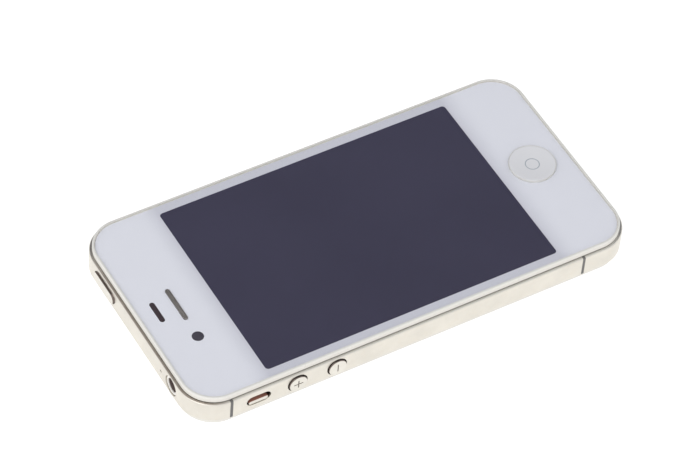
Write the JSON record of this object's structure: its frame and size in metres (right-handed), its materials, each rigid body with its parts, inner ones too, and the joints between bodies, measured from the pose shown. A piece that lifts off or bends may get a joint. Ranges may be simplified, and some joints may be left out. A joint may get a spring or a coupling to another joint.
{
  "type": "smartphone",
  "caption": "Flat smartphone with glass front and back, a steel band split by antenna gaps, side buttons, SIM drawer and the working parts inside.",
  "frame": {"origin": "centre of the back at the lowest level, with the phone lying on its back", "axes": "+Y along the phone towards the earpiece, +Z out of the screen, +X towards the SIM drawer side"},
  "size_m": [0.0591, 0.1156, 0.0093],
  "materials": {
    "front_glass_clear": "polished, clear",
    "border_print": "white printed border behind the glass",
    "white_rim": "satin white moulded rim",
    "white_back_rim": "satin white rear carrier",
    "white_glass": "polished white glass",
    "band_steel": "fine bead-blasted steel",
    "control_steel": "fine satin steel",
    "gap_plastic": "dark grey moulded spacer",
    "home_white": "smooth white cap",
    "marker_paint": "red-brown paint",
    "grey_mesh": "fine woven steel mesh",
    "black_mesh": "dark pierced sheet",
    "black_plastic": "moulded black plastic",
    "collar_plastic": "white moulded collar",
    "screen_dark": "dark switched-off screen",
    "plate_steel": "plain rolled sheet",
    "weight_metal": "dense sintered metal",
    "ribbon_amber": "amber flexible circuit",
    "cell_black": "black foil pouch",
    "board_blue": "lacquered circuit board",
    "connector_cream": "moulded connector",
    "gold_metal": "gold-plated",
    "card_plastic": "plain white card",
    "lens_black": "black lens barrel",
    "camera_glass": "coated cover glass",
    "ring_steel": "polished ring",
    "led_yellow": "phosphor lamp",
    "flash_clear": "frosted clear window"
  },
  "bodies": {
    "phone": {"front_glass": "front_glass_clear", "front_mask": "border_print", "front_bezel": "white_rim", "rear_glass": "white_glass", "rear_frame": "white_back_rim", "band_top": "band_steel", "band_bottom": "band_steel", "band_left": "band_steel", "band_right": "band_steel", "antenna_spacers": "gap_plastic", "home_switch": "gold_metal", "earpiece_mesh": "grey_mesh", "earpiece_receiver": "black_plastic", "front_camera": "black_plastic", "proximity_sensor": "black_plastic", "display_panel": "screen_dark", "display_backing": "plate_steel", "display_ribbon": "ribbon_amber", "mid_plate": "plate_steel", "battery_cell": "cell_black", "battery_lead": "ribbon_amber", "logic_board": "board_blue", "rear_shields": "plate_steel", "front_shields": "plate_steel", "board_chips": "black_plastic", "board_connectors": "connector_cream", "board_screws": "plate_steel", "board_standoffs": "gold_metal", "side_flex": "ribbon_amber", "power_switch": "ribbon_amber", "sim_reader": "plate_steel", "headphone_jack": "black_plastic", "jack_collar": "collar_plastic", "top_microphone": "gold_metal", "vibration_motor": "plate_steel", "rear_camera": "black_plastic", "camera_window": "camera_glass", "camera_ring": "ring_steel", "flash_led": "led_yellow", "flash_window": "flash_clear", "loudspeaker": "black_plastic", "lower_antenna": "black_plastic", "dock_shell": "plate_steel", "dock_tongue": "black_plastic", "dock_contacts": "gold_metal", "bottom_microphone": "gold_metal", "end_meshes": "black_mesh", "end_screws": "plate_steel"},
    "home_button": {"home_button": "home_white"},
    "volume_up": {"volume_up_button": "control_steel"},
    "volume_down": {"volume_down_button": "control_steel"},
    "power": {"power_button": "control_steel"},
    "silent": {"silent_switch": "control_steel", "silent_marker": "marker_paint"},
    "sim_drawer": {"sim_tray": "control_steel", "sim_card": "card_plastic"},
    "eject_rod": {"eject_rod": "plate_steel"},
    "eject_lever": {"eject_lever": "plate_steel"},
    "motor_weight": {"vibration_weight": "weight_metal"},
    "focus_lens": {"camera_lens": "lens_black"}
  },
  "joints": [
    {"name": "home_press", "type": "slide", "parent": "phone", "child": "home_button", "axis": [0, 0, -1], "range_m": [0, 0.00035], "stiffness_N_per_m": 2500, "springref_m": -0.0004},
    {"name": "volume_up_press", "type": "slide", "parent": "phone", "child": "volume_up", "axis": [1, 0, 0], "range_m": [0, 0.0004], "stiffness_N_per_m": 2500, "springref_m": -0.0004},
    {"name": "volume_down_press", "type": "slide", "parent": "phone", "child": "volume_down", "axis": [1, 0, 0], "range_m": [0, 0.0004], "stiffness_N_per_m": 2500, "springref_m": -0.0004},
    {"name": "power_press", "type": "slide", "parent": "phone", "child": "power", "axis": [0, -1, 0], "range_m": [0, 0.0004], "stiffness_N_per_m": 2500, "springref_m": -0.0004},
    {"name": "silent_slide", "type": "slide", "parent": "phone", "child": "silent", "axis": [0, 0, 1], "range_m": [0, 0.0011]},
    {"name": "sim_slide", "type": "slide", "parent": "phone", "child": "sim_drawer", "axis": [1, 0, 0], "range_m": [0, 0.0145]},
    {"name": "eject_push", "type": "slide", "parent": "phone", "child": "eject_rod", "axis": [-1, 0, 0], "range_m": [0, 0.00014]},
    {"name": "eject_swing", "type": "hinge", "parent": "phone", "child": "eject_lever", "pos_m": [0.0123, -0.0054, 0.00465], "axis": [0, 0, 1], "range_deg": [-4.1, 0]},
    {"name": "motor_spin", "type": "hinge", "parent": "phone", "child": "motor_weight", "pos_m": [-0.003, 0.046, 0.00345], "axis": [1, 0, 0], "continuous": true},
    {"name": "focus_slide", "type": "slide", "parent": "phone", "child": "focus_lens", "axis": [0, 0, -1], "range_m": [0, 0.00025], "stiffness_N_per_m": 200, "springref_m": -0.0002}
  ],
  "couplings": [
    {"joint": "eject_swing", "follows": "eject_push", "rad_per_m": -500}
  ]
}
